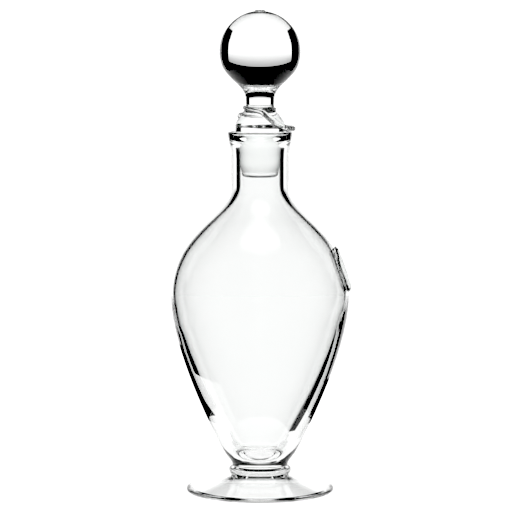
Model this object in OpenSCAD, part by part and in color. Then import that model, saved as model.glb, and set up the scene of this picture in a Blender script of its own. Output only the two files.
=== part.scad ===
// Footed wine decanter with a ball stopper, in clear hand-blown glass.
// Origin: centre of the ring the foot stands on. +Z up, +X towards the shoulder seal,
// -Y is the front. Every height is measured from the table.
// Name endings: _d diameter, _r radius, _z height above the table.

/* [Foot] */
// Diameter of the foot
foot_d = 98; // [92:1:104]
// Height of the foot at its middle
foot_h = 12; // [11.5:0.5:13]
// Radius of the rounded foot edge
foot_edge_r = 1.3; // [1.1:0.1:1.5]
// Width of the flat ring the foot stands on
foot_ring_w = 3; // [2:0.5:4]
// Depth of the hollow under the foot
foot_hollow = 9.8; // [9.4:0.1:10]
// Diameter of the ground and polished pontil hollow
pontil_d = 18; // [16:1:22]
// Extra depth of the pontil hollow
pontil_depth = 0.3; // [0.2:0.1:0.5]

/* [Merese] */
// Largest diameter of the ring between foot and bowl
merese_d = 41.2; // [40.8:0.2:43]
// Thickness of that ring
merese_t = 5; // [4.5:0.5:6]

/* [Bowl] */
// Diameter of the bowl where it meets the merese
waist_d = 36.8; // [36.4:0.2:38.6]
// Largest outer diameter of the bowl
bowl_d = 118.6; // [114:0.2:122]
// Height of the widest point
bowl_z = 131; // [126:1:135]
// Wall thickness at the widest point
wall = 2.4; // [2.1:0.1:2.8]
// Height of the inside floor, above the thick base
floor_z = 25.2; // [24.4:0.2:26]

/* [Neck] */
// Outer diameter of the neck
neck_d = 38.4; // [37.6:0.2:40]
// Height where the shoulder has become the neck
neck_z = 204.5; // [202:0.5:206]
// Height of the neck rim
rim_z = 240; // [238.6:0.2:241.6]
// Outer diameter of the flared rim
rim_d = 42.6; // [42:0.2:43.4]
// Radius of the fire-rounded lip
lip_r = 1; // [0.9:0.05:1.2]
// Bore below the ground seat
bore_d = 27; // [26.9:0.1:27.2]

/* [Ground seat] */
// Diameter of the plug at the top of the seat
plug_d = 27.6; // [27.5:0.1:28]
// Taper of the seat, as change in diameter per unit of length
taper = 0.08; // [0.07:0.01:0.09]
// Radial gap between plug and bore
seat_gap = 0.05; // [0.03:0.01:0.08]
// Length of ground bore
seat_len = 8.5; // [7.5:0.5:9]

/* [Stopper] */
// Length of the plug below the top of the seat
plug_len = 19.5; // [19:0.1:20.5]
// Diameter of the bulging shoulder above the plug
shoulder_d = 32.6; // [32:0.2:33.4]
// Thinnest diameter of the shank
shank_d = 18.6; // [18:0.2:20]
// Diameter of the ball
ball_d = 53.4; // [51:0.2:55]
// Diameter of the hot joint between ball and shank
joint_d = 23.2; // [22.4:0.2:24]
// Radius of the little cut-off nub on top of the ball
nub_r = 3.6; // [3:0.2:4.4]

/* [Trail] */
// Base radius of the applied thread
thread_r = 1.35; // [1.2:0.05:1.45]
// Radius of the thread at its pinched lug
lug_r = 2.1; // [2:0.05:2.2]
// How far the lug is pulled out from the shoulder
lug_out = 5.4; // [5:0.1:6]

/* [Shoulder seal] */
// Diameter of the applied seal
seal_d = 31.5; // [28:0.5:33]
// Height of its middle
seal_z = 149.2; // [146:0.2:151]
// Thickness of the seal at its middle
seal_t = 1.15; // [1:0.05:1.4]

/* [Hidden] */
$fn = 96;
glass = [0.86, 0.90, 0.89];

merese_z = foot_h + merese_t; // top of the merese
foot_r = foot_d / 2;
merese_r = merese_d / 2;
waist_r = waist_d / 2;
bowl_r = bowl_d / 2;
neck_r = neck_d / 2;
bore_r = bore_d / 2;
pontil_r = pontil_d / 2;
shank_r = shank_d / 2;
joint_r = joint_d / 2;
ball_r = ball_d / 2;

seat_top = rim_z - 10.2;
seat_bottom = seat_top - seat_len;
plug_bottom = seat_top - plug_len;
shoulder_z = rim_z + 4.4;
shank_z = rim_z + 20;
joint_z = rim_z + 28;
ball_z = joint_z + 25;

// ---- curves, as [radius, height] points ----
// Cubic curve sampled at equal steps, without its start point so that curves can be chained
function curve(start, handle1, handle2, end, steps) = [
    for (i = [1:steps]) let (t = i / steps, s = 1 - t)
        s*s*s*start + 3*s*s*t*handle1 + 3*s*t*t*handle2 + t*t*t*end];

// Curves end to end. Each span is [first handle, second handle, end, steps].
function chain(start, spans) = [
    for (i = [0:len(spans) - 1]) let (span = spans[i])
        each curve(i == 0 ? start : spans[i - 1][2], span[0], span[1], span[2], span[3])];

function around(centre, radius, angle) = centre + radius * [cos(angle), sin(angle)];
function arc(centre, radius, from, to, steps, first = 0) = [
    for (i = [first:steps]) around(centre, radius, from + (to - from) * i / steps)];

// Radius of a profile at height z
function radius_at(profile, z) = lookup(z, [for (point = profile) [point[1], point[0]]]);

// ---- foot ----
foot_join = [waist_r + 0.3, foot_h]; // where foot and merese meet outside
foot_edge = [foot_r - foot_edge_r, foot_edge_r];
ring_r = foot_r - foot_edge_r - foot_ring_w; // inside of the standing ring
foot_top = curve(foot_join, [waist_r + 7, foot_h - 2.4], [foot_r - 14, 5.6],
    around(foot_edge, foot_edge_r, 72), 12);
foot_under = chain([ring_r, 0], [
    [[ring_r - 8, 2.2], [pontil_r + 6, foot_hollow + 0.2], [pontil_r, foot_hollow], 14],
    [[pontil_r - 1, foot_hollow + 0.6 * pontil_depth],
        [pontil_r / 2, foot_hollow + pontil_depth], [0, foot_hollow + pontil_depth], 5]]);
foot_points = concat([[0, foot_h], foot_join], foot_top,
    arc(foot_edge, foot_edge_r, 60, -90, 8), [[ring_r, 0]], foot_under);

// ---- merese ----
merese_points = concat([[0, foot_h], foot_join],
    chain(foot_join, [
        [[merese_r, foot_h + 0.1], [merese_r, foot_h + 1],
            [merese_r, foot_h + merese_t * 0.44], 5],
        [[merese_r, merese_z - 1.2], [waist_r + 1, merese_z - 0.6], [waist_r, merese_z], 5]]),
    [[0, merese_z]]);

// ---- bowl and neck ----
// Outside, from the waist up to the neck
waist = [waist_r, merese_z];
hip = [waist_r + 5.6, merese_z + 9.7];
outer_points = concat([waist], chain(waist, [
    [[waist_r + 0.1, merese_z + 3.6], hip - [1.9, 3.6], hip, 5],
    [around(hip, 10, 60), [bowl_r, bowl_z - 35.3], [bowl_r, bowl_z], 16],
    [[bowl_r, bowl_z + 43.5], [neck_r, neck_z - 19.5], [neck_r, neck_z], 20]]));

// Flared rim, over the lip and down to the ground seat
flare_start = [neck_r, rim_z - 18.6];
lip_centre = [rim_d / 2 - lip_r, rim_z - lip_r];
lip_inner = 150; // angle where the lip turns into the bore
outer_flare = curve(flare_start, [neck_r, rim_z - 11], [neck_r + 1.5, rim_z - 6],
    around(lip_centre, lip_r, -22), 7);
function seat_r(z) = plug_d / 2 - (seat_top - z) * taper / 2;
inner_flare = curve(around(lip_centre, lip_r, lip_inner), [17.9, rim_z - 3.2],
    [seat_r(seat_top) + 0.55, seat_top + 4.2], [seat_r(seat_top) + seat_gap, seat_top], 9);

// Inside, from the bore down to the floor
bore_end = [bore_r, neck_z + 1.6];
inner_r = bowl_r - wall;
heel = [20.6, floor_z + 14.8];
inner_points = concat([bore_end], chain(bore_end, [
    [[bore_r, neck_z - 20.5], [inner_r, bowl_z + 41.8], [inner_r, bowl_z], 20],
    [[inner_r, bowl_z - 18], around(heel, 37.7, 58), heel, 15],
    [heel - [3.9, 6.8], [11.5, floor_z], [0, floor_z], 7]]));

body_points = concat([[0, merese_z]], outer_points, [flare_start], outer_flare,
    arc(lip_centre, lip_r, 0, lip_inner, 7), inner_flare,
    [[seat_r(seat_bottom) + seat_gap, seat_bottom], [bore_r, seat_bottom - 1.5]],
    inner_points);

// ---- stopper ----
plug_foot = [9.2, plug_bottom]; // edge of the flat end
taper_z = seat_top - 9.6; // lower end of the tapered length
taper_top = [seat_r(seat_top), seat_top];
bulge = [shoulder_d / 2, shoulder_z];
plug_low = concat([[0, plug_bottom], plug_foot],
    curve(plug_foot, [11.4, plug_bottom], [12.0, plug_bottom + 1.2],
        [12.15, plug_bottom + 3.2], 4),
    [[seat_r(taper_z), taper_z], taper_top],
    chain(taper_top, [
        [taper_top + [0.1, 2], [14.9, seat_top + 3.4], [15.7, rim_z - 3.6], 6],
        [[bulge[0], rim_z - 2.6], bulge - [0.05, 4.6], bulge, 6]]));
// From the bulge over the shank to the joint
plug_high = chain(bulge, [
    [bulge + [0.1, 3.6], [shank_r + 2.1, rim_z + 11.6], [shank_r + 0.25, rim_z + 16.2], 9],
    [[shank_r - 0.15, rim_z + 17.8], [shank_r - 0.1, shank_z + 1.6],
        [shank_r + 0.3, shank_z + 3.4], 5],
    [[shank_r + 0.7, shank_z + 5.1], [joint_r - 0.9, joint_z - 1.3], [joint_r, joint_z], 4]]);
plug_points = concat(plug_low, plug_high, [[0, joint_z]]);

// The ball is round between these two angles from its middle
ball_from = -20;
ball_to = acos(nub_r / ball_r);
ball_centre = [0, ball_z];
ball_low = around(ball_centre, ball_r, ball_from);
ball_top = ball_z + ball_r;
ball_points = concat([[0, joint_z], [joint_r, joint_z]],
    curve([joint_r, joint_z], [joint_r + 2.1, joint_z + 3.1],
        around(ball_low, 6.6, ball_from - 90), ball_low, 7),
    arc(ball_centre, ball_r, ball_from, ball_to, 18, first = 1),
    curve(around(ball_centre, ball_r, ball_to), [nub_r - 0.1, ball_top + 0.2],
        [nub_r - 0.5, ball_top + 0.6], [nub_r - 1.1, ball_top + 0.6], 3),
    [[0, ball_top + 0.5]]);

// ---- trail ----
// The thread starts as a fine tip at the front of the shoulder and runs clockwise, seen
// from above, most of the way round and down to a pinched lug just above and outside the
// rim. It then climbs across the front, passes behind the shank and fades out at +X.
// Columns: turn angle, height above the rim, thickness as a share of thread_r, and how
// far it is pulled out as a share of lug_out.
trail_keys = [
    [  0, 10.3, 0.35, 0.00], [ 35, 11.2, 0.75, 0.00], [ 90, 11.6, 0.95, 0.00],
    [135,  8.2, 1.05, 0.00], [180,  4.4, 1.15, 0.04], [225,  2.6, 1.25, 0.22],
    [257,  2.3, 1.30, 0.46], [282,  2.4, 1.36, 0.72], [303,  2.6, lug_r / thread_r, 1.00],
    [317,  3.3, 1.55, 0.81], [328,  5.0, 1.68, 0.37], [339,  8.4, 1.62, 0.10],
    [358, 12.8, 1.30, 0.00], [400, 15.3, 1.10, 0.00], [450, 16.0, 1.00, 0.00],
    [540, 16.0, 0.90, 0.00], [600, 15.6, 0.65, 0.00], [640, 15.0, 0.35, 0.00]];
last_key = len(trail_keys) - 1;
trail_turn = trail_keys[last_key][0];
trail_start = -82; // direction of the first tip, from +X
trail_offset = 0.35; // thread centre outside the stopper, as a share of its radius
trail_steps = 90;
trail_sides = 12;

// Index of the key that starts the stretch holding this angle
function key_at(angle, i = 0) =
    i + 1 >= last_key || angle <= trail_keys[i + 1][0] ? i : key_at(angle, i + 1);

// Smooth curve through the keys of one column
function track(angle, column) = let (
    i = key_at(angle),
    before = trail_keys[max(0, i - 1)],
    from = trail_keys[i],
    to = trail_keys[i + 1],
    after = trail_keys[min(last_key, i + 2)],
    width = to[0] - from[0],
    t = (angle - from[0]) / width,
    slope1 = (to[column] - before[column]) / (to[0] - before[0]) * width,
    slope2 = (after[column] - from[column]) / (after[0] - from[0]) * width)
    (2*t*t*t - 3*t*t + 1) * from[column] + (t*t*t - 2*t*t + t) * slope1
    + (3*t*t - 2*t*t*t) * to[column] + (t*t*t - t*t) * slope2;

// Stopper outline that the thread follows
trail_base = concat([bulge - [0, 12], bulge - [0.3, 4], bulge], plug_high);

// Ring of points round the thread at one step
function trail_ring(step) = let (
    angle = trail_turn * step / trail_steps,
    z = rim_z + track(angle, 1),
    radius = thread_r * track(angle, 2),
    centre = radius_at(trail_base, z) + trail_offset * radius + lug_out * track(angle, 3),
    direction = trail_start - angle)
    [for (j = [0:trail_sides - 1])
        let (point = around([centre, z], radius, 360 * j / trail_sides))
        [point[0] * cos(direction), point[0] * sin(direction), point[1]]];

// ---- seal ----
seal_base_r = radius_at(outer_points, seal_z);
slope_span = 4; // the bowl's slope is taken this far above and below the middle
seal_tilt = atan((radius_at(outer_points, seal_z - slope_span)
    - radius_at(outer_points, seal_z + slope_span)) / (2 * slope_span));
dome_r = 60;
dome_drop = 1.9; // dome centre, down the slope from the middle of the seal
border_w = 3.2;
field_depth = 0.4;
boss_r = 9.2;
boss_sink = 8.6; // boss centre below the top of the dome

// ---- parts ----
module foot() color(glass) rotate_extrude() polygon(foot_points);

module merese() color(glass) rotate_extrude() polygon(merese_points);

module bowl_and_neck() color(glass) rotate_extrude() polygon(body_points);

// Puts z = 0 on the bowl at the seal's middle, +Z square to the wall, +X down the slope
module seal_space()
    translate([seal_base_r, 0, seal_z]) rotate([0, 90 - seal_tilt, 0]) children();

module shoulder_seal() color(glass) difference() {
    intersection() {
        seal_space() translate([0, 0, -6]) cylinder(d = seal_d, h = 10, $fn = 240);
        seal_space() translate([dome_drop, 0, seal_t - dome_r]) difference() {
            sphere(r = dome_r, $fn = 360);
            // sunk field inside a raised border, with a low boss in its middle
            translate([-dome_drop, 0, 0]) difference() {
                cylinder(d = seal_d - 2 * border_w, h = dome_r + 5, $fn = 240);
                translate([dome_drop, 0, 0]) sphere(r = dome_r - field_depth, $fn = 360);
                translate([0, 0, dome_r - boss_sink]) sphere(r = boss_r);
            }
        }
    }
    // the solid bowl shape, so that the seal only lies on its outside
    rotate_extrude($fn = 360) polygon(concat([[0, merese_z]], outer_points, [[0, neck_z]]));
}

module stopper_plug() color(glass) rotate_extrude() polygon(plug_points);

module stopper_ball() color(glass) rotate_extrude() polygon(ball_points);

module stopper_trail() color(glass) polyhedron(
    points = [for (i = [0:trail_steps]) each trail_ring(i)],
    faces = concat(
        [[for (j = [0:trail_sides - 1]) j]],
        [for (i = [0:trail_steps - 1], j = [0:trail_sides - 1])
            let (here = i * trail_sides + j, next = i * trail_sides + (j + 1) % trail_sides)
            each [[here, here + trail_sides, next + trail_sides],
                [here, next + trail_sides, next]]],
        [[for (j = [trail_sides - 1:-1:0]) trail_steps * trail_sides + j]]));

foot();
merese();
bowl_and_neck();
shoulder_seal();
stopper_plug();
stopper_ball();
stopper_trail();
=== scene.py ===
import bpy
import math
import numpy as np
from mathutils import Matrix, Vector


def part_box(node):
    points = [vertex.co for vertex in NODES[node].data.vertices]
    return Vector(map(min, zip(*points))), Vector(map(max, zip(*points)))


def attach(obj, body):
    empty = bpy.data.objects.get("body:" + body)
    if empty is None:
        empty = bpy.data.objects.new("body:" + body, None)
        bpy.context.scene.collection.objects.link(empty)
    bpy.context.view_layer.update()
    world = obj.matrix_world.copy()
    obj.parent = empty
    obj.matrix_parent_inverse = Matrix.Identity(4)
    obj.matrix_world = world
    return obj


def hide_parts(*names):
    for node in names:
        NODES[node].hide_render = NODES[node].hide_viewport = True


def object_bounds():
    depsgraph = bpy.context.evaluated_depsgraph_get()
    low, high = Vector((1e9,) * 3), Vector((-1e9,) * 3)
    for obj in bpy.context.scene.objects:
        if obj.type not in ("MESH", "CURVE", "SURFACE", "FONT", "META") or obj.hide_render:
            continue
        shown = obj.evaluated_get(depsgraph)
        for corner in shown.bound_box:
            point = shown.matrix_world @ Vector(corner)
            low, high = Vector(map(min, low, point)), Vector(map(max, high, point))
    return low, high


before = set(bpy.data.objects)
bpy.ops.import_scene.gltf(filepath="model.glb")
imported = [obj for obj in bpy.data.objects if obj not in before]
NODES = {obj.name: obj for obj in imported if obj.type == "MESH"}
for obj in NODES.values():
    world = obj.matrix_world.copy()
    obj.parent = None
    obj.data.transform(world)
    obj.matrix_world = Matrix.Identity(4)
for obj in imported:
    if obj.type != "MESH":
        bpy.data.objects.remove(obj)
cad_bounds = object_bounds()
MM = 0.001

# The frame: +Z up, +X towards the shoulder seal. VIEW is the azimuth the front is seen from.
VIEW = math.radians(-90)


# ---------------------------------------------------------------- outlines of the turned CAD nodes
def cad_arrays(node):
    me = NODES[node].data
    me.calc_loop_triangles()
    P = np.empty(len(me.vertices) * 3, np.float32)
    me.vertices.foreach_get("co", P)
    F = np.empty(len(me.loop_triangles) * 3, np.int32)
    me.loop_triangles.foreach_get("vertices", F)
    return P.reshape(-1, 3).astype(float), F.reshape(-1, 3)


def outline(node):
    """Ordered (r, z) corners of a node turned about Z, from the axis and back to the axis."""
    P, F = cad_arrays(node)
    rz = np.c_[np.hypot(P[:, 0], P[:, 1]), P[:, 2]]
    keys = np.round(rz * 1e6).astype(np.int64)
    u, inv = np.unique(keys, axis=0, return_inverse=True)
    inv = inv.ravel()
    u = u * 1e-6
    lab = np.arange(len(u))
    for i in range(len(u)):
        if lab[i] != i:
            continue
        near = np.where(np.hypot(u[:, 0] - u[i, 0], u[:, 1] - u[i, 1]) < 3e-5)[0]
        for k in near:
            if k > i and lab[k] == k:
                lab[k] = i
    inv = lab[inv]
    nb = {}
    for x, y in np.vstack([F[:, [0, 1]], F[:, [1, 2]], F[:, [2, 0]]]):
        x, y = int(inv[x]), int(inv[y])
        if x != y:
            nb.setdefault(x, set()).add(y)
            nb.setdefault(y, set()).add(x)
    ends = [k for k in sorted(nb) if u[k, 0] < 2e-5 or len(nb[k]) == 1]
    start = min(ends, key=lambda k: (u[k, 1], u[k, 0]))
    path, seen = [start], {start}
    while True:
        c = [k for k in sorted(nb[path[-1]]) if k not in seen]
        if not c:
            break
        k = min(c, key=lambda q: math.hypot(*(u[q] - u[path[-1]])))
        path.append(k)
        seen.add(k)
    pts = [tuple(u[k]) for k in path]
    if pts[0][0] > 2e-5:
        pts.insert(0, (0.0, pts[0][1]))
    if pts[-1][0] > 2e-5:
        pts.append((0.0, pts[-1][1]))
    out = np.array([(0.0 if r < 2e-5 else r, z) for r, z in pts])
    # points that only split a straight side are dropped
    keep = True
    while keep:
        keep = False
        for i in range(1, len(out) - 1):
            a, b, c = out[i - 1], out[i], out[i + 1]
            d = abs((c[0] - a[0]) * (b[1] - a[1]) - (c[1] - a[1]) * (b[0] - a[0])) / np.linalg.norm(c - a)
            if d < 2e-6:
                out = np.delete(out, i, 0)
                keep = True
                break
    area = np.sum(out[:-1, 0] * out[1:, 1] - out[1:, 0] * out[:-1, 1])
    return out if area > 0 else out[::-1]  # bottom to top on the outside


def turning(a, b, c):
    v, w = b - a, c - b
    return abs(math.atan2(v[0] * w[1] - v[1] * w[0], v @ w))


def runs(pts, planes, corner=math.radians(34)):
    """Splits an outline at its true corners and where a joint's flat face ends."""
    def flat(i):
        return 0 <= i < len(pts) - 1 and any(abs(pts[i, 1] - z) < 3e-6 and abs(pts[i + 1, 1] - z) < 3e-6 for z in planes)
    cut = [0] + [i for i in range(1, len(pts) - 1)
                 if turning(pts[i - 1], pts[i], pts[i + 1]) > corner or flat(i - 1) != flat(i)] + [len(pts) - 1]
    return [pts[a:b + 1] for a, b in zip(cut[:-1], cut[1:])]


def smooth_run(p, step, bend=math.radians(4)):
    """A smooth curve through one run's corners. Long sides between short ones stay straight."""
    seg = np.diff(p, axis=0)
    L = np.linalg.norm(seg, axis=1)
    U = seg / L[:, None]
    n = len(L)
    if n == 1:
        k = max(1, math.ceil(L[0] / (step * 3)))
        return [p[0] + seg[0] * i / k for i in range(k + 1)]
    straight = [L[i] > 2.6 * MM and all(L[i] > 1.25 * L[j] for j in (i - 1, i + 1) if 0 <= j < n) for i in range(n)]
    T = np.zeros_like(p)
    for i in range(1, n):
        if straight[i - 1]:
            T[i] = U[i - 1]
        elif straight[i]:
            T[i] = U[i]
        else:
            T[i] = U[i - 1] * L[i] + U[i] * L[i - 1]
        T[i] /= np.linalg.norm(T[i])
    for e, q, d in ((0, 1, 0), (n, n - 1, n - 1)):
        if straight[d]:
            T[e] = U[d]
        else:
            T[e] = 2 * (U[d] @ T[q]) * U[d] - T[q]
        if p[e][0] == 0:
            T[e] = (1.0 if e == 0 else -1.0, 0.0)
    out = [p[0]]
    for i in range(n):
        bent = math.acos(np.clip(T[i] @ U[i], -1, 1)) + math.acos(np.clip(T[i + 1] @ U[i], -1, 1))
        k = max(1, math.ceil(L[i] / (step * (3 if straight[i] else 1))), math.ceil(bent / bend))
        for j in range(1, k + 1):
            t = j / k
            out.append((2 * t**3 - 3 * t * t + 1) * p[i] + (t**3 - 2 * t * t + t) * L[i] * T[i]
                       + (3 * t * t - 2 * t**3) * p[i + 1] + (t**3 - t * t) * L[i] * T[i + 1])
    out[-1] = p[-1]
    return out


def fine_outline(node, step, *planes):
    """Lists of (points, slot) per smooth run. Slot 1 is the flat face of a hot joint."""
    out = []
    for r in runs(outline(node), planes):
        joint = any(np.all(np.abs(r[:, 1] - z) < 3e-6) for z in planes)
        out.append((np.array(smooth_run(r, step)), int(joint)))
    return out


def relax(parts, z0, z1, rounds=40):
    """Evens out the curve between two heights so that light bends smoothly there."""
    for p, _ in parts:
        if len(p) < 12:
            continue
        w = np.clip(np.minimum(p[:, 1] - z0, z1 - p[:, 1]) / (8 * MM), 0, 1)[1:-1, None] * 0.5
        for _ in range(rounds):
            p[1:-1] += w * ((p[:-2] + p[2:]) / 2 - p[1:-1])
    return parts


# ---------------------------------------------------------------- mesh building
def wobble(theta, z, seed, size):
    """Slow, small unevenness of hand-blown glass, in metres."""
    a = np.sin(2 * theta + 1.3 * seed + 9.0 * z) * 0.45
    b = np.sin(3 * theta - 2.1 * seed + 31.0 * z) * 0.25
    c = np.sin(1 * theta + 0.7 * seed - 47.0 * z) * 0.30
    d = np.sin(5 * theta + 3.3 * seed + 83.0 * z) * 0.08
    return size * (a + b + c + d)


def gate(x, lo, hi, soft):
    """1 between lo and hi, falling smoothly to 0 over soft beyond each."""
    def s(t):
        t = np.clip(t, 0, 1)
        return t * t * (3 - 2 * t)
    return s((x - (lo - soft)) / soft) * s(((hi + soft) - x) / soft)


def turned(name, parts, angles, shift=None):
    """One closed turned mesh. parts: list of (points, slot) runs from axis to axis. Outside runs go upwards."""
    verts, faces, mats, sharp = [], [], [], []
    n = len(angles)
    ca, sa = np.cos(angles), np.sin(angles)
    rings = []

    def ring(pt):
        r, z = pt
        if r < 1e-7:
            verts.append((0.0, 0.0, z))
            return [len(verts) - 1]
        rr = np.full(n, r)
        if shift is not None:
            rr = rr + shift(angles, r, z)
        base = len(verts)
        verts.extend(zip(rr * ca, rr * sa, np.full(n, z)))
        return list(range(base, base + n))

    last = None
    for pts, slot in parts:
        for i, pt in enumerate(pts):
            if i == 0:
                if last is None:
                    last = ring(pt)
                else:
                    rings.append(last)
                continue
            cur = ring(pt)
            for j in range(n):
                k = (j + 1) % n
                if len(last) == 1 and len(cur) == 1:
                    break
                if len(last) == 1:
                    faces.append((last[0], cur[k], cur[j]))
                elif len(cur) == 1:
                    faces.append((last[j], last[k], cur[0]))
                else:
                    faces.append((last[j], last[k], cur[k], cur[j]))
                mats.append(slot)
            last = cur
    for rg in rings:
        if len(rg) > 1:
            sharp += [(rg[j], rg[(j + 1) % n]) for j in range(n)]
    return build(name, verts, faces, mats, sharp)


def build(name, verts, faces, mats, sharp=()):
    me = bpy.data.meshes.new(name)
    me.from_pydata([tuple(map(float, v)) for v in verts], [], faces)
    me.validate()
    me.polygons.foreach_set("material_index", np.array(mats, np.int32))
    me.polygons.foreach_set("use_smooth", np.ones(len(me.polygons), bool))
    if sharp:
        want = {(min(a, b), max(a, b)) for a, b in sharp}
        ev = np.empty(len(me.edges) * 2, np.int32)
        me.edges.foreach_get("vertices", ev)
        ev = ev.reshape(-1, 2)
        me.edges.foreach_set("use_edge_sharp", np.array([(min(a, b), max(a, b)) in want for a, b in ev.tolist()], bool))
    me.update()
    ob = bpy.data.objects.new(name, me)
    bpy.context.scene.collection.objects.link(ob)
    return ob


def even(n):
    return np.linspace(0, 2 * math.pi, n, endpoint=False)


def radius_at(points, z):
    """Outside radius at height z, from (r, z) points that go upwards."""
    p = np.array(points)
    return np.interp(z, p[:, 1], p[:, 0])


# ---------------------------------------------------------------- materials
def node_mat(name):
    m = bpy.data.materials.new(name)
    m.use_nodes = True
    m.node_tree.nodes.clear()
    return m, m.node_tree.nodes, m.node_tree.links


def glass(name, tint=(0.985, 0.992, 0.988), ground=None, ripple=0.03, scale=(9, 9, 60)):
    """Clear glass. ground = (z low, z high, soft, r low, r high) makes that band satin; r low is not used."""
    m, N, L = node_mat(name)
    out = N.new("ShaderNodeOutputMaterial")
    b = N.new("ShaderNodeBsdfPrincipled")
    L.new(b.outputs[0], out.inputs[0])
    b.inputs["Transmission Weight"].default_value = 1.0
    b.inputs["IOR"].default_value = 1.52
    tc = N.new("ShaderNodeTexCoord")
    mp = N.new("ShaderNodeMapping")
    mp.inputs["Scale"].default_value = scale
    L.new(tc.outputs["Object"], mp.inputs[0])
    # faint cords in the metal, drawn round the piece
    n1 = N.new("ShaderNodeTexNoise")
    n1.inputs["Scale"].default_value = 3.2
    n1.inputs["Detail"].default_value = 2.0
    n1.inputs["Roughness"].default_value = 0.45
    L.new(mp.outputs[0], n1.inputs["Vector"])
    col = N.new("ShaderNodeMix")
    col.data_type = "RGBA"
    col.inputs["A"].default_value = (*tint, 1)
    col.inputs["B"].default_value = (min(1, tint[0] + 0.008), min(1, tint[1] + 0.006), min(1, tint[2] + 0.007), 1)
    L.new(n1.outputs[0], col.inputs["Factor"])
    L.new(col.outputs["Result"], b.inputs["Base Color"])
    bump = N.new("ShaderNodeBump")
    bump.inputs["Strength"].default_value = ripple
    bump.inputs["Distance"].default_value = 0.0004
    L.new(n1.outputs[0], bump.inputs["Height"])
    L.new(bump.outputs[0], b.inputs["Normal"])
    if ground is None:
        ramp = N.new("ShaderNodeMapRange")
        ramp.inputs["From Min"].default_value = 0.35
        ramp.inputs["From Max"].default_value = 0.75
        ramp.inputs["To Min"].default_value = 0.0
        ramp.inputs["To Max"].default_value = 0.012
        L.new(n1.outputs[0], ramp.inputs["Value"])
        L.new(ramp.outputs[0], b.inputs["Roughness"])
        return m
    lo, hi, soft, rlo, rhi = ground
    sep = N.new("ShaderNodeSeparateXYZ")
    L.new(tc.outputs["Object"], sep.inputs[0])
    n2 = N.new("ShaderNodeTexNoise")
    n2.inputs["Scale"].default_value = 420.0
    n2.inputs["Detail"].default_value = 3.0
    L.new(tc.outputs["Object"], n2.inputs["Vector"])

    def math_node(op, a, c=None, clamp=False):
        q = N.new("ShaderNodeMath")
        q.operation = op
        q.use_clamp = clamp
        for i, v in enumerate((a, c)):
            if v is None:
                continue
            if isinstance(v, (int, float)):
                q.inputs[i].default_value = v
            else:
                L.new(v, q.inputs[i])
        return q.outputs[0]

    zz = math_node("ADD", sep.outputs[2], math_node("MULTIPLY", math_node("SUBTRACT", n2.outputs[0], 0.5), soft))
    up = math_node("DIVIDE", math_node("SUBTRACT", zz, lo), soft, True)
    dn = math_node("DIVIDE", math_node("SUBTRACT", hi, zz), soft, True)
    rad = math_node("SQRT", math_node("ADD", math_node("MULTIPLY", sep.outputs[0], sep.outputs[0]),
                                      math_node("MULTIPLY", sep.outputs[1], sep.outputs[1])))
    near = math_node("LESS_THAN", rad, rhi)
    mask = math_node("MULTIPLY", math_node("MULTIPLY", up, dn), near)
    grain = N.new("ShaderNodeTexNoise")
    grain.inputs["Scale"].default_value = 2600.0
    grain.inputs["Detail"].default_value = 2.0
    L.new(tc.outputs["Object"], grain.inputs["Vector"])
    amount = math_node("ADD", math_node("MULTIPLY", grain.outputs[0], 0.14), 0.27)
    L.new(math_node("ADD", math_node("MULTIPLY", mask, amount), 0.002), b.inputs["Roughness"])
    # the wheel's fine rings on the ground band
    wv = N.new("ShaderNodeTexNoise")
    mp2 = N.new("ShaderNodeMapping")
    mp2.inputs["Scale"].default_value = (60, 60, 2600)
    L.new(tc.outputs["Object"], mp2.inputs[0])
    L.new(mp2.outputs[0], wv.inputs["Vector"])
    wv.inputs["Scale"].default_value = 1.0
    wv.inputs["Detail"].default_value = 3.0
    b2 = N.new("ShaderNodeBump")
    b2.inputs["Distance"].default_value = 0.00005
    L.new(math_node("MULTIPLY", mask, 0.35), b2.inputs["Strength"])
    L.new(wv.outputs[0], b2.inputs["Height"])
    L.new(bump.outputs[0], b2.inputs["Normal"])
    L.new(b2.outputs[0], b.inputs["Normal"])
    return m


def fused():
    """The hidden faces of a hot joint, where glass runs on into glass."""
    m, N, L = node_mat("fused_joint")
    out = N.new("ShaderNodeOutputMaterial")
    t = N.new("ShaderNodeBsdfTransparent")
    L.new(t.outputs[0], out.inputs[0])
    return m


FUSED = fused()

# ---------------------------------------------------------------- foot
SEG = 224
foot_parts = fine_outline("foot", 0.8 * MM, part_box("foot")[1].z)
foot_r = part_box("foot")[1].x


def foot_shift(a, r, z):
    k = gate(np.array(r), 0.62 * foot_r, 2 * foot_r, 0.3 * foot_r)
    return wobble(a, z * 0.2, 1.0, 0.16 * MM) * k


foot = turned("foot_glass", foot_parts, even(SEG), foot_shift)

# ---------------------------------------------------------------- merese
mer_lo, mer_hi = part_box("merese")[0].z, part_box("merese")[1].z
mer_parts = fine_outline("merese", 0.35 * MM, mer_lo, mer_hi)
merese = turned("merese_ring", mer_parts, even(SEG))

# ---------------------------------------------------------------- bowl and neck
bowl_lo, bowl_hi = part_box("bowl_and_neck")
bowl_parts = relax(fine_outline("bowl_and_neck", 1.15 * MM, bowl_lo.z), 95 * MM, 160 * MM)
flat = np.vstack([p for p, s in bowl_parts if s == 0])
peak = int(np.argmax(flat[:, 1]))
outer = flat[:peak + 1]
inner = flat[peak:][::-1]
bowl_r = outer[:, 0].max()
seal_lo, seal_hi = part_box("shoulder_seal")
seal_c = (seal_lo + seal_hi) / 2
seal_r = (seal_hi.y - seal_lo.y) / 2
plug_lo, plug_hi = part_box("stopper_plug")


def side_of(r, z):
    """0 on the outer skin, 1 on the inner skin."""
    ro = np.interp(z, outer[:, 1], outer[:, 0])
    ri = np.interp(z, inner[:, 1], inner[:, 0])
    return 0 if abs(r - ro) <= abs(r - ri) else 1


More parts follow.
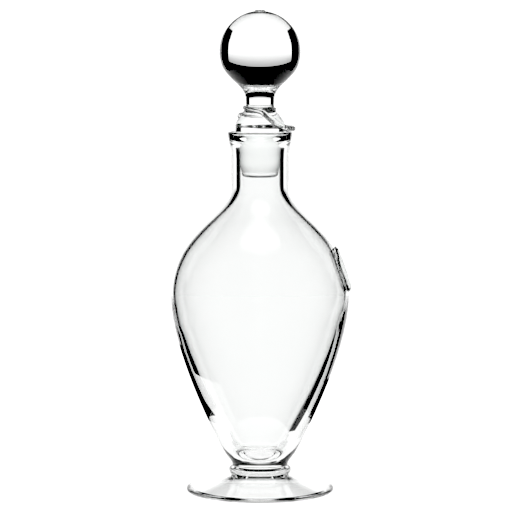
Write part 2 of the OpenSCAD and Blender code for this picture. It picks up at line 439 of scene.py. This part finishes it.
def dent(a, r, z):
    """The hot seal was pressed on and pushed the wall in a little."""
    u = r * np.arctan2(np.sin(a), np.cos(a))
    q = np.hypot(u, (z - seal_c.z) / 0.88) / (seal_r * 0.92)
    return 1.7 * MM * np.exp(-q ** 3.2)


def bowl_shift(a, r, z):
    k = float(gate(np.array(z), bowl_lo.z + 14 * MM, plug_lo.z - 12 * MM, 12 * MM))
    if side_of(r, z) == 0:
        return wobble(a, z, 0.0, 0.05 * MM) * k - dent(a, r, z)
    # the cavity sits a little off centre low down, so the wall is thicker on one side
    lean = 0.3 * MM * np.cos(a) * float(gate(np.array(z), 34 * MM, 108 * MM, 16 * MM))
    return wobble(a, z, 2.6, 0.06 * MM) * k - dent(a, r, z) - lean


dense = math.radians(19)
angles = np.concatenate([np.linspace(-dense, dense, 64, endpoint=False),
                         np.linspace(dense, 2 * math.pi - dense, 190, endpoint=False)])
bowl = turned("bowl_and_neck_glass", bowl_parts, angles, bowl_shift)


# The seal is fused to the bowl, so the bowl's skin under it lets light straight through.
def skin(y, z):
    """x of the bowl's outer skin at (y, z) on the seal's side."""
    r = np.interp(z, outer[:, 1], outer[:, 0])
    th = np.arcsin(np.clip(y / r, -1, 1))
    k = gate(z, bowl_lo.z + 14 * MM, plug_lo.z - 12 * MM, 12 * MM)
    r = r + wobble(th, z, 0.0, 0.05 * MM) * k - dent(th, r, z)
    return np.sqrt(np.maximum(r * r - y * y, 0))


slope = (np.interp(seal_c.z - 4 * MM, outer[:, 1], outer[:, 0]) - np.interp(seal_c.z + 4 * MM, outer[:, 1], outer[:, 0])) / (8 * MM)
lean = math.atan(slope)
seal_axis = Vector((math.cos(lean), 0, math.sin(lean)))
seal_up = Vector((-math.sin(lean), 0, math.cos(lean)))
FOOT_IN = 0.985  # share of the seal's radius that is fused


def seal_rho(P):
    return np.hypot(P[:, 1], (P[:, 2] - seal_c.z) / math.cos(lean)) / seal_r


me = bowl.data
C = np.empty(len(me.polygons) * 3, np.float32)
me.polygons.foreach_get("center", C)
C = C.reshape(-1, 3)
idx = np.empty(len(me.polygons), np.int32)
me.polygons.foreach_get("material_index", idx)
under = (C[:, 0] > 0) & (seal_rho(C) < FOOT_IN) & (np.hypot(C[:, 0], C[:, 1]) > np.interp(C[:, 2], outer[:, 1], outer[:, 0]) - 0.7 * MM)
idx[under] = 1
me.polygons.foreach_set("material_index", idx)

# ---------------------------------------------------------------- shoulder seal
def seal_height(rho, phi):
    """Thickness of the stamped seal: soft outer roll, bead border, sunk field and a plain cluster of grapes."""
    u, v = rho * seal_r * np.cos(phi), rho * seal_r * np.sin(phi)
    lean_t = 2.0 * MM - 0.6 * MM * (v / seal_r)  # thicker at the foot of the seal, where it sagged
    edge = np.sqrt(np.clip(1 - np.clip((rho - 0.80) / 0.20, 0, 1) ** 2, 0, 1))
    h = lean_t * edge
    roll = np.exp(-((rho - 0.80) / 0.085) ** 2) * 0.38 * MM
    field = -0.30 * MM * (1 / (1 + np.exp((rho - 0.66) / 0.018)))
    h = h + (roll + field) * np.minimum(1, edge)
    h = h + 0.03 * MM * np.cos(7 * phi + 1.1) * np.exp(-((rho - 0.80) / 0.12) ** 2)
    # grapes in rows of four, three, two and one, hanging from a short stem
    g = np.zeros_like(h)
    br = 1.5 * MM
    rows = [(4, 2.4), (3, 0.0), (2, -2.4), (1, -4.8)]
    for n, y in rows:
        for i in range(n):
            cx = (i - (n - 1) / 2) * 2.75 * MM
            d2 = (u - cx) ** 2 + (v - y * MM) ** 2
            g = np.maximum(g, np.sqrt(np.clip(br * br - d2, 0, None)) * 0.42)
    stem = 0.55 * MM * np.exp(-((u - 0.12 * (v - 3.5 * MM)) / (0.5 * MM)) ** 2) * gate(v, 4.0 * MM, 7.0 * MM, 0.8 * MM)
    for s in (-1, 1):
        lu, lv = u - s * 3.6 * MM, v - 5.6 * MM
        q = (lu / (3.0 * MM)) ** 2 + ((lv + s * 0.25 * lu) / (1.5 * MM)) ** 2
        leaf = 0.42 * MM * np.clip(1 - q, 0, 1) ** 0.6 * (0.8 + 0.2 * np.cos(lu / (0.35 * MM)))
        g = np.maximum(g, leaf)
    return h + np.maximum(g, stem)


nr, nphi = 92, 216
sv, sf, sm, ss = [], [], [], []
rhos = np.linspace(0, 1, nr + 1)[1:]
phis = even(nphi)


def seal_point(rho, phi, h):
    u, v = rho * seal_r * np.cos(phi), rho * seal_r * np.sin(phi)
    z = seal_c.z + v * math.cos(lean)
    x = skin(u, z)
    e = 0.05 * MM
    dxdy = (skin(u + e, z) - skin(u - e, z)) / (2 * e)
    dxdz = (skin(u, z + e) - skin(u, z - e)) / (2 * e)
    n = np.stack([np.ones_like(x), -dxdy, -dxdz], -1)
    n /= np.linalg.norm(n, axis=-1, keepdims=True)
    return np.stack([x, u, z], -1) + n * h[..., None]


for side in (1, 0):
    base = len(sv)
    one = np.zeros(1)
    if side:
        cen = seal_point(one, one, seal_height(one, one))
    else:
        cen = seal_point(one, one, np.full(1, -0.45 * MM))
    sv.append(cen[0])
    for rho in rhos:
        last_ring = rho == rhos[-1]
        if last_ring and not side:
            break
        hh = seal_height(np.full(nphi, rho), phis) if side else np.full(nphi, -0.45 * MM * min(1, (1 - rho) / 0.08 + 0.15))
        if last_ring:
            hh = np.full(nphi, -0.03 * MM)
        sv.extend(seal_point(np.full(nphi, rho), phis, hh))
    for i in range(nr if side else nr - 1):
        for j in range(nphi):
            k = (j + 1) % nphi
            if i == 0:
                f = (base, base + 1 + j, base + 1 + k)
            else:
                a = base + 1 + (i - 1) * nphi
                f = (a + j, a + nphi + j, a + nphi + k, a + k)
            sf.append(f if side else f[::-1])
            sm.append(0 if side else 1)
    if side:
        rim_ring = [base + 1 + (nr - 1) * nphi + j for j in range(nphi)]
    else:
        a = base + 1 + (nr - 2) * nphi
        for j in range(nphi):
            k = (j + 1) % nphi
            sf.append((rim_ring[k], rim_ring[j], a + j, a + k))
            sm.append(1)
        ss = [(rim_ring[j], rim_ring[(j + 1) % nphi]) for j in range(nphi)]
seal = build("shoulder_seal_glass", sv, sf, sm, ss)

# ---------------------------------------------------------------- stopper: plug and ball
plug_parts = fine_outline("stopper_plug", 0.42 * MM, plug_hi.z)
ball_lo, ball_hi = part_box("stopper_ball")
ball_parts = fine_outline("stopper_ball", 0.7 * MM, ball_lo.z)
ball_mid = (ball_lo.z + ball_hi.z) / 2


def ball_shift(a, r, z):
    k = float(gate(np.array(z), ball_lo.z + 10 * MM, ball_hi.z - 6 * MM, 8 * MM))
    return wobble(a, z, 4.0, 0.10 * MM) * k


PSEG = 320
plug = turned("stopper_plug_glass", plug_parts, even(PSEG))
ball = turned("stopper_ball_glass", ball_parts, even(256), ball_shift)
plug_skin = np.vstack([p for p, s in plug_parts if s == 0])
plug_up = plug_skin[np.argsort(plug_skin[:, 1], kind="stable")]


def plug_r(z):
    return np.interp(z, plug_up[:, 1], plug_up[:, 0])


# ---------------------------------------------------------------- stopper trail
rim_z = bowl_hi.z
trail_lo, trail_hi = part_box("stopper_trail")
# turn angle, height above the rim (mm), radius (mm), how far it is pulled out (mm)
KEYS = np.array([
    [0, 10.3, 0.47, 0.0], [35, 11.2, 1.01, 0.0], [90, 11.6, 1.28, 0.0],
    [135, 8.2, 1.42, 0.0], [180, 4.4, 1.55, 0.22], [225, 2.6, 1.69, 1.19],
    [257, 2.3, 1.76, 2.48], [282, 2.4, 1.84, 3.89], [303, 2.6, 2.10, 5.4],
    [317, 3.3, 2.09, 4.37], [328, 5.0, 2.27, 2.0], [339, 8.4, 2.19, 0.54],
    [358, 12.8, 1.76, 0.0], [400, 15.3, 1.49, 0.0], [450, 16.0, 1.35, 0.0],
    [540, 16.0, 1.22, 0.0], [600, 15.6, 0.88, 0.0], [640, 15.0, 0.47, 0.0]], float)
LUG = 303


def track(a, col):
    k = KEYS
    i = int(np.clip(np.searchsorted(k[:, 0], a, side="right") - 1, 0, len(k) - 2))
    k0, k1, k2, k3 = k[max(0, i - 1)], k[i], k[i + 1], k[min(len(k) - 1, i + 2)]
    h = k2[0] - k1[0]
    t = (a - k1[0]) / h
    m1 = (k2[col] - k0[col]) / (k2[0] - k0[0]) * h
    m2 = (k3[col] - k1[col]) / (k3[0] - k1[0]) * h
    return ((2 * t**3 - 3 * t * t + 1) * k1[col] + (t**3 - 2 * t * t + t) * m1
            + (3 * t * t - 2 * t**3) * k2[col] + (t**3 - t * t) * m2)


def trail_centre(a):
    z = rim_z + track(a, 1) * MM
    b = math.exp(-((a - LUG) / 15) ** 2)
    r = track(a, 2) * MM
    c = plug_r(z) + 0.35 * r + track(a, 3) * MM
    d = math.radians(-82 - a)
    return np.array([c * math.cos(d), c * math.sin(d), z]), r, b, d


TN, TM = 620, 30
tv, tf, tm = [], [], []
stations = [trail_centre(640 * i / TN) for i in range(TN + 1)]
cen = np.array([s[0] for s in stations])
tan = np.gradient(cen, axis=0)
tan /= np.linalg.norm(tan, axis=1, keepdims=True)
for i in range(TN + 1):
    c, r, b, d = stations[i]
    out_dir = np.array([math.cos(d), math.sin(d), 0.0])
    n1 = out_dir - tan[i] * (out_dir @ tan[i])
    n1 /= np.linalg.norm(n1)
    n2 = np.cross(tan[i], n1)
    a = 640 * i / TN
    crimp = 1 + 0.05 * b * math.cos((a - LUG) / 2.6 * math.pi)
    end = min(1.0, math.sqrt(max(0.0, min(a, 640 - a) / 7.0 + 0.02)))
    for j in range(TM):
        q = 2 * math.pi * j / TM
        lump = 1 + 0.05 * math.sin(a * 0.071 + 1.7 * math.sin(q)) + 0.03 * math.sin(a * 0.19 + q)
        rr = r * lump * crimp * end
        tv.append(c + n1 * rr * math.cos(q) * (1 + 0.2 * b) + n2 * rr * math.sin(q) * (1 - 0.12 * b))
for i in range(TN):
    for j in range(TM):
        k = (j + 1) % TM
        tf.append((i * TM + j, i * TM + k, (i + 1) * TM + k, (i + 1) * TM + j))
        tm.append(0)
for i in (0, TN):
    tv.append(cen[i])
    e = len(tv) - 1
    for j in range(TM):
        k = (j + 1) % TM
        tf.append((e, i * TM + j, i * TM + k)[::(-1 if i == 0 else 1)])
        tm.append(0)
TV = np.array(tv)
depth = plug_r(TV[:, 2]) - np.hypot(TV[:, 0], TV[:, 1])
for fi, f in enumerate(tf):
    if np.mean(depth[list(f)]) > 0.02 * MM:
        tm[fi] = 1
trail = build("stopper_trail_glass", tv, tf, tm)

# The plug's skin inside the thread lets light straight through.
rad = np.array([s[1] for s in stations])
me = plug.data
C = np.empty(len(me.polygons) * 3, np.float32)
me.polygons.foreach_get("center", C)
C = C.reshape(-1, 3)
idx = np.empty(len(me.polygons), np.int32)
me.polygons.foreach_get("material_index", idx)
cand = np.where((C[:, 2] > rim_z - 1 * MM) & (C[:, 2] < rim_z + 21 * MM) & (idx == 0))[0]
for s in range(0, len(cand), 2000):
    q = cand[s:s + 2000]
    dd = np.linalg.norm(C[q][:, None, :] - cen[None], axis=2) - rad[None]
    idx[q[dd.min(1) < -0.03 * MM]] = 1
me.polygons.foreach_set("material_index", idx)

# ---------------------------------------------------------------- finishes
seat = np.array([p for p in plug_up if p[1] < rim_z])
seat_top = rim_z - 4.2 * MM
mat_clear = glass("clear_glass", ripple=0.02)
mat_foot = glass("foot_glass_clear", ripple=0.03, scale=(14, 14, 30))
mat_bowl = glass("bowl_glass_clear", ripple=0.02)
mat_plug = glass("plug_glass_ground", ground=(plug_lo.z + 2.2 * MM, seat_top, 1.2 * MM, 0, 0.03), ripple=0.02)
mat_ball = glass("ball_glass_clear", ripple=0.015)
mat_trail = glass("trail_glass_clear", ripple=0.06, scale=(60, 60, 60))
mat_seal = glass("seal_glass_clear", ripple=0.05, scale=(40, 40, 40))
for ob, m in ((foot, mat_foot), (merese, mat_clear), (bowl, mat_bowl), (seal, mat_seal),
              (plug, mat_plug), (ball, mat_ball), (trail, mat_trail)):
    ob.data.materials.append(m)
    ob.data.materials.append(FUSED)

for ob, body, node, slot in (
        (foot, "decanter", "foot", "clear_glass"), (merese, "decanter", "merese", "clear_glass"),
        (bowl, "decanter", "bowl_and_neck", "clear_glass"), (seal, "decanter", "shoulder_seal", "seal_glass"),
        (plug, "stopper", "stopper_plug", "ground_glass"), (ball, "stopper", "stopper_ball", "stopper_glass"),
        (trail, "stopper", "stopper_trail", "stopper_glass")):
    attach(ob, body)
    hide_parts(node)

# ---------------------------------------------------------------- studio
scene = bpy.context.scene
lo, hi = cad_bounds
SHEET_BACK, SHEET_HALF = 0.47, 0.38      # a lit sheet stands this far behind the piece and is this wide to each side
SHEET_FULL, SHEET_TOP = 0.290, 0.408     # it fades above the first height and ends at the second
ROOM = 0.045                             # everything beyond the sheet
# Painted shade: there is no mask object; the floor and room glow are darkened as if a black mask with the bowl's own
# outline stood close behind it. A ray that leaves the glass outwards by more than this angle is painted dark. Columns:
# height, outline's slope, angle on the left, angle on the right, angle inwards (degrees), share of the soft box above
# and the floor that is painted lit for rays from that height (painted light), and the angles up to which rays from the
# very edge are painted dark, left and right.
PAINTED_SHADE_AND_LIGHT = ((0.000, -26, 80, 80, 80, 100, -60, -60), (0.018, -26, 80, 80, 80, 100, -60, -60), (0.0205, -26, 80, 80, 80, 0, -60, -60),
        (0.035, -26, 80, 80, 80, 0, -60, -60), (0.037, -25, 80, 38, 80, 0, -60, -60), (0.0452, -23, 80, 35, 80, 0, -60, -60),
        (0.0470, -23, 80, 34, 3, 0, -60, 12), (0.0485, -22, 80, 34, 3, 0, 34, 12), (0.053, -22, 80, 33, 3, 0, 28, 12), (0.060, -22, 80, 33, 3, 0, 19, 10), (0.073, -20, 80, 31, 3, 0, 17, 4),
        (0.079, -19, 28, 30, 3, 0, 16, -20), (0.088, -17, 27, 30, 3, 0, 15, -60), (0.097, -13, 27, 31, 4, 0, 12, -60), (0.104, -11, 26, 32, 80, 0, -60, -60),
        (0.127, 0, 23.5, 30, 80, 0, -60, -60), (0.140, 12, 23.5, 24, 80, 0, -60, -60),
        (0.153, 24, 24, 24, 80, 0, -60, -60), (0.167, 35, 25, 25, 80, 0, -60, -60), (0.180, 43, 28, 28, 80, 0, -60, -60),
        (0.193, 40, 36, 36, 80, 0, -60, -60), (0.200, 28, 45, 45, 80, 0, -60, -60), (0.207, 5, 80, 80, 80, 0, -60, -60),
        (0.226, 0, 80, 80, 80, 0, -60, -60), (0.230, 0, 80, 80, 80, 100, -60, -60), (0.2405, 0, 80, 80, 80, 100, -60, -60),
        (0.243, 0, 80, 80, 80, 0, -60, -60), (0.330, 0, 80, 80, 80, 0, -60, -60))
OVERHEAD = 0.9                           # a soft box high above


class Graph:
    """Short hand for shader maths."""

    def __init__(self, tree):
        self.N, self.L = tree.nodes, tree.links
        self.N.clear()

    def put(self, socket, v):
        if isinstance(v, (int, float)):
            socket.default_value = v
        elif isinstance(v, tuple):
            socket.default_value = v
        else:
            self.L.new(v, socket)

    def m(self, op, a, b=None, clamp=False):
        q = self.N.new("ShaderNodeMath")
        q.operation = op
        q.use_clamp = clamp
        self.put(q.inputs[0], a)
        if b is not None:
            self.put(q.inputs[1], b)
        return q.outputs[0]

    def v(self, op, a, b=None, scale=None):
        q = self.N.new("ShaderNodeVectorMath")
        q.operation = op
        self.put(q.inputs[0], a)
        if b is not None:
            self.put(q.inputs[1], b)
        if scale is not None:
            self.put(q.inputs["Scale"], scale)
        return q.outputs["Value"] if op in ("DOT_PRODUCT", "LENGTH") else q.outputs["Vector"]

    def xyz(self, v):
        q = self.N.new("ShaderNodeSeparateXYZ")
        self.L.new(v, q.inputs[0])
        return q.outputs

    def step(self, v, a, b, x=0.0, y=1.0, kind="SMOOTHSTEP"):
        q = self.N.new("ShaderNodeMapRange")
        q.interpolation_type = kind
        for n, w in (("Value", v), ("From Min", a), ("From Max", b), ("To Min", x), ("To Max", y)):
            self.put(q.inputs[n], w)
        return q.outputs[0]

    def table(self, x, rows, col, scale):
        """Straight lines through the rows' values, read at x."""
        q = self.N.new("ShaderNodeFloatCurve")
        lo_x, hi_x = rows[0][0], rows[-1][0]
        vals = [r[col] * scale for r in rows]
        lo_y, hi_y = min(vals), max(vals)
        c = q.mapping.curves[0]
        for k, (r, v) in enumerate(zip(rows, vals)):
            at = ((r[0] - lo_x) / (hi_x - lo_x), (v - lo_y) / (hi_y - lo_y))
            if k == 0 or k == len(rows) - 1:
                c.points[0 if k == 0 else len(c.points) - 1].location = at
            else:
                c.points.new(*at)
        for pt in c.points:
            pt.handle_type = "VECTOR"
        q.mapping.update()
        self.put(q.inputs["Value"], self.step(x, lo_x, hi_x, kind="LINEAR"))
        return self.m("ADD", self.m("MULTIPLY", q.outputs[0], hi_y - lo_y), lo_y)

    def mask(self, pos, inc, length):
        """Painted shade: 1 where a ray that came this way missed the painted mask, 0 where it is painted dark. Also
        gives the painted light shares.
        """
        look = []
        for d in ((1, 0, 0), (0, 1, 0), (0, 0, 1)):
            q = self.N.new("ShaderNodeVectorTransform")
            q.vector_type = "VECTOR"
            q.convert_from, q.convert_to = "CAMERA", "WORLD"
            q.inputs[0].default_value = d
            look.append(q.outputs[0])
        right, up, ahead = look
        o = self.v("ADD", pos, self.v("SCALE", inc, scale=length))
        oz = self.xyz(o)[2]
        side = self.m("SIGN", self.v("DOT_PRODUCT", o, right))
        slope = self.table(oz, PAINTED_SHADE_AND_LIGHT, 1, math.pi / 180)
        lat = self.m("MULTIPLY", self.v("DOT_PRODUCT", inc, right), self.m("MULTIPLY", side, -1.0))
        rise = self.m("MULTIPLY", self.v("DOT_PRODUCT", inc, up), -1.0)
        fwd = self.m("MAXIMUM", self.m("MULTIPLY", self.v("DOT_PRODUCT", inc, ahead), -1.0), 0.03)
        out = self.m("ADD", self.m("MULTIPLY", lat, self.m("COSINE", slope)), self.m("MULTIPLY", rise, self.m("SINE", slope)))
        angle = self.m("ARCTAN2", out, fwd)
        left_a, right_a = self.table(oz, PAINTED_SHADE_AND_LIGHT, 2, math.pi / 180), self.table(oz, PAINTED_SHADE_AND_LIGHT, 3, math.pi / 180)
        pick = self.m("GREATER_THAN", side, 0.0)
        limit = self.m("ADD", self.m("MULTIPLY", pick, right_a), self.m("MULTIPLY", self.m("SUBTRACT", 1.0, pick), left_a))
        outer = self.step(self.m("SUBTRACT", angle, limit), -0.035, 0.02, 1.0, 0.0)
        inward = self.m("MULTIPLY", self.table(oz, PAINTED_SHADE_AND_LIGHT, 4, math.pi / 180), -1.0)
        inner = self.step(self.m("SUBTRACT", angle, inward), -0.02, 0.02)
        edge_l, edge_r = self.table(oz, PAINTED_SHADE_AND_LIGHT, 6, math.pi / 180), self.table(oz, PAINTED_SHADE_AND_LIGHT, 7, math.pi / 180)
        edge = self.m("ADD", self.m("MULTIPLY", pick, edge_r), self.m("MULTIPLY", self.m("SUBTRACT", 1.0, pick), edge_l))
        edge_side = edge
        depth = self.m("DIVIDE", self.v("DOT_PRODUCT", o, ahead), self.m("ABSOLUTE", self.v("DOT_PRODUCT", o, right)))
        # rays that stay in the wall leave at a smaller angle than those that cross the cavity and end at the same depth
        edge = self.m("MINIMUM", edge, self.m("SUBTRACT", 0.227, self.m("MULTIPLY", depth, 1.745)))
        wall = self.m("MULTIPLY", self.step(depth, 0.38, 0.45, 1.0, 0.0), self.step(self.m("SUBTRACT", angle, edge), -0.03, 0.03, 1.0, 0.0))
        # painted shade: nor does the outside mirror the sheet there, its first reflections are painted dark
        path = self.N.new("ShaderNodeLightPath")
        first = self.m("MULTIPLY", path.outputs["Is Reflection Ray"], self.step(path.outputs["Ray Depth"], 1.4, 1.6, 1.0, 0.0))
        wall = self.m("MAXIMUM", wall, self.m("MULTIPLY", first, self.step(edge_side, -0.3, -0.1)))
        # painted shade: the foot's top is painted dark where it would mirror the sheet towards the front
        top = self.m("MULTIPLY", self.step(depth, -0.75, -0.6, 1.0, 0.0), self.m("MULTIPLY", self.step(oz, 0.013, 0.016, 1.0, 0.0), self.step(rise, -0.02, 0.02)))
        wall = self.m("MAXIMUM", wall, top)
        # both rules are for a nearly level view, and for the wall alone
        high = self.step(self.m("MULTIPLY", self.xyz(ahead)[2], -1.0), 0.13, 0.20)
        wall = self.m("MULTIPLY", wall, self.m("SUBTRACT", 1.0, high))
        inner = self.m("MAXIMUM", self.m("MAXIMUM", inner, self.step(depth, 0.38, 0.45)), high)
        clear = self.m("MULTIPLY", self.m("MULTIPLY", outer, inner), self.m("SUBTRACT", 1.0, wall))
        # painted light: rays that have bounced long inside the neck are painted with the soft box's glow
        painted_neck_light = self.step(path.outputs["Ray Depth"], 7.5, 9.0)
        painted_neck_light = self.m("MULTIPLY", painted_neck_light, self.m("MULTIPLY", self.step(oz, 0.17, 0.19), self.step(oz, 0.2405, 0.2425, 1.0, 0.0)))
        return clear, self.table(oz, PAINTED_SHADE_AND_LIGHT, 5, 0.01), painted_neck_light

    def sight(self):
        """The camera's level forward and right directions, as world vectors."""
        q = self.N.new("ShaderNodeVectorTransform")
        q.vector_type = "VECTOR"
        q.convert_from, q.convert_to = "CAMERA", "WORLD"
        q.inputs[0].default_value = (1, 0, 0)
        right = q.outputs[0]
        return self.v("CROSS_PRODUCT", (0, 0, 1), right), right


# The floor is pale everywhere to the eye. Through the glass it is painted dark beyond the sheet's width and where the
# painted mask falls, and painted lit for some ray heights.
FR = 1.1
fv = [(0, 0, -0.0003)]
fr = [0.05, 0.1, 0.2, 0.35, 0.55, 0.8, FR]
for r in fr:
    fv += [(r * math.cos(t), r * math.sin(t), -0.0003) for t in even(96)]
ff = [(0, 1 + j, 1 + (j + 1) % 96) for j in range(96)]
for i in range(len(fr) - 1):
    a = 1 + i * 96
    ff += [(a + j, a + 96 + j, a + 96 + (j + 1) % 96, a + (j + 1) % 96) for j in range(96)]
fm = bpy.data.meshes.new("floor")
fm.from_pydata(fv, [], ff)
floor = bpy.data.objects.new("floor", fm)
scene.collection.objects.link(floor)
m = bpy.data.materials.new("floor_pale")
m.use_nodes = True
g = Graph(m.node_tree)
geo = g.N.new("ShaderNodeNewGeometry")
ahead, right = g.sight()
fx = g.m("ABSOLUTE", g.v("DOT_PRODUCT", geo.outputs["Position"], right))
fz = g.v("DOT_PRODUCT", geo.outputs["Position"], ahead)
limit = g.m("MAXIMUM", SHEET_HALF, g.m("MULTIPLY", fz, SHEET_HALF / SHEET_BACK))
wide = g.step(g.m("DIVIDE", fx, limit), 0.96, 1.04, 1.0, 0.0)
lp = g.N.new("ShaderNodeLightPath")
clear, painted_open_share, painted_neck_light = g.mask(geo.outputs["Position"], geo.outputs["Incoming"], lp.outputs["Ray Length"])
wide = g.m("MULTIPLY", g.m("MULTIPLY", wide, clear), g.step(fz, -0.14, -0.03))
# looking steeply down from high up, the floor is hidden by the piece's own shade
steep = g.m("MULTIPLY", g.step(lp.outputs["Ray Length"], 0.14, 0.20), g.step(g.xyz(geo.outputs["Incoming"])[2], 0.86, 0.95))
wide = g.m("MULTIPLY", wide, g.m("SUBTRACT", 1.0, steep))
lit = g.m("MAXIMUM", g.m("MAXIMUM", wide, g.m("MAXIMUM", painted_open_share, painted_neck_light)), lp.outputs["Is Camera Ray"])
em = g.N.new("ShaderNodeEmission")
em.inputs[0].default_value = (1, 1, 1, 1)
g.L.new(g.step(lit, 0.0, 1.0, ROOM, 0.78, "LINEAR"), em.inputs[1])
dif = g.N.new("ShaderNodeBsdfDiffuse")
g.L.new(g.v("SCALE", (0.22, 0.22, 0.22), scale=lit), dif.inputs[0])
add = g.N.new("ShaderNodeAddShader")
g.L.new(em.outputs[0], add.inputs[0])
g.L.new(dif.outputs[0], add.inputs[1])
out = g.N.new("ShaderNodeOutputMaterial")
g.L.new(add.outputs[0], out.inputs[0])
fm.materials.append(m)

# The room is a dark dome. A ray that reaches it is traced back to where it crossed the sheet.
dv, df = [], []
rows = [(FR * 0.97, -0.02)] + [(FR * 0.97, z) for z in (0.3, 0.6)] + \
       [(FR * 0.97 * math.cos(t), 0.6 + FR * math.sin(t)) for t in np.linspace(0.12, math.pi / 2 - 0.03, 10)]
for r, z in rows:
    dv += [(r * math.cos(t), r * math.sin(t), z) for t in even(64)]
for i in range(len(rows) - 1):
    a = i * 64
    df += [(a + j, a + (j + 1) % 64, a + 64 + (j + 1) % 64, a + 64 + j) for j in range(64)]
dv.append((0, 0, 0.6 + FR))
a = (len(rows) - 1) * 64
df += [(a + j, a + (j + 1) % 64, len(dv) - 1) for j in range(64)]
dm = bpy.data.meshes.new("room")
dm.from_pydata(dv, [], df)
dome = bpy.data.objects.new("room", dm)
scene.collection.objects.link(dome)
m = bpy.data.materials.new("room_and_sheet")
m.use_nodes = True
g = Graph(m.node_tree)
geo = g.N.new("ShaderNodeNewGeometry")
pos, inc = geo.outputs["Position"], geo.outputs["Incoming"]
ahead, right = g.sight()
toward = g.m("MULTIPLY", g.v("DOT_PRODUCT", inc, ahead), -1.0)
t = g.m("DIVIDE", g.m("SUBTRACT", g.v("DOT_PRODUCT", pos, ahead), SHEET_BACK), g.m("MAXIMUM", toward, 0.02))
q = g.v("ADD", pos, g.v("SCALE", inc, scale=t))
qx = g.m("ABSOLUTE", g.v("DOT_PRODUCT", q, right))
qz = g.xyz(q)[2]
wide = g.step(qx, SHEET_HALF * 0.965, SHEET_HALF * 1.035, 1.0, 0.0)
fade = g.step(qz, SHEET_FULL, SHEET_TOP, 1.0, 0.5)
tall = g.step(qz, SHEET_TOP - 0.004, SHEET_TOP + 0.006, 1.0, 0.0)
faces = g.m("GREATER_THAN", toward, 0.02)
level = g.m("MULTIPLY", g.m("MULTIPLY", wide, fade), g.m("MULTIPLY", tall, faces))
lp = g.N.new("ShaderNodeLightPath")
# painted shade: the painted mask darkens the sheet for rays that leave the glass at the listed angles
clear, painted_open_share, painted_neck_light = g.mask(pos, inc, lp.outputs["Ray Length"])
level = g.m("MULTIPLY", level, clear)
# painted light: the soft box above is shown only to rays from the heights the table opens
above = g.step(g.m("MULTIPLY", g.xyz(inc)[2], -1.0), 0.62, 0.75, 0.0, g.m("MULTIPLY", painted_open_share, OVERHEAD))
level = g.m("MAXIMUM", g.m("MAXIMUM", level, above), g.m("MULTIPLY", painted_neck_light, OVERHEAD))
em = g.N.new("ShaderNodeEmission")
em.inputs[0].default_value = (1, 1, 1, 1)
g.L.new(g.step(level, 0.0, 1.0, ROOM, 1.0, "LINEAR"), em.inputs[1])
out = g.N.new("ShaderNodeOutputMaterial")
g.L.new(em.outputs[0], out.inputs[0])
dm.materials.append(m)
dome.visible_camera = False
dome.visible_diffuse = False
dome.visible_shadow = False

world = bpy.data.worlds.new("studio")
scene.world = world
world.use_nodes = True
world.node_tree.nodes["Background"].inputs[0].default_value = (1, 1, 1, 1)
world.node_tree.nodes["Background"].inputs[1].default_value = 1.0


def soft_box(name, where, aim, size, power, glass_sees):
    ld = bpy.data.lights.new(name, "AREA")
    ld.shape = "RECTANGLE"
    ld.size, ld.size_y = size
    ld.energy = power
    o = bpy.data.objects.new(name, ld)
    scene.collection.objects.link(o)
    o.location = where
    o.rotation_euler = (Vector(aim) - Vector(where)).to_track_quat("-Z", "Y").to_euler()
    o.visible_glossy = glass_sees
    o.visible_transmission = glass_sees
    o.visible_camera = False
    return o


soft_box("top_box", (0, 0, 1.5), (0, 0, 0), (1.2, 1.2), 1.0, False)

# ---------------------------------------------------------------- camera
DIST, EYE = 1.70, 0.313
cam = bpy.data.cameras.new("camera")
cam.lens = 177.6
cam.sensor_width = 36.0
cam.clip_start = 0.05
co = bpy.data.objects.new("camera", cam)
scene.collection.objects.link(co)
co.location = (DIST * math.cos(VIEW), DIST * math.sin(VIEW), EYE)
aim = Vector((0, 0, (lo[2] + hi[2]) / 2 - 0.0054))
co.rotation_euler = (aim - co.location).to_track_quat("-Z", "Y").to_euler()
scene.camera = co

scene.view_settings.view_transform = "Standard"
scene.view_settings.look = "None"
scene.view_settings.use_curve_mapping = True
cm = scene.view_settings.curve_mapping
cm.black_level = (0.11, 0.11, 0.11)
cm.white_level = (0.86, 0.86, 0.86)
cm.update()
cy = scene.cycles
cy.max_bounces = 40
cy.transmission_bounces = 40
cy.glossy_bounces = 16
cy.diffuse_bounces = 3
cy.transparent_max_bounces = 48
cy.caustics_refractive = True
cy.caustics_reflective = True
cy.blur_glossy = 0.0
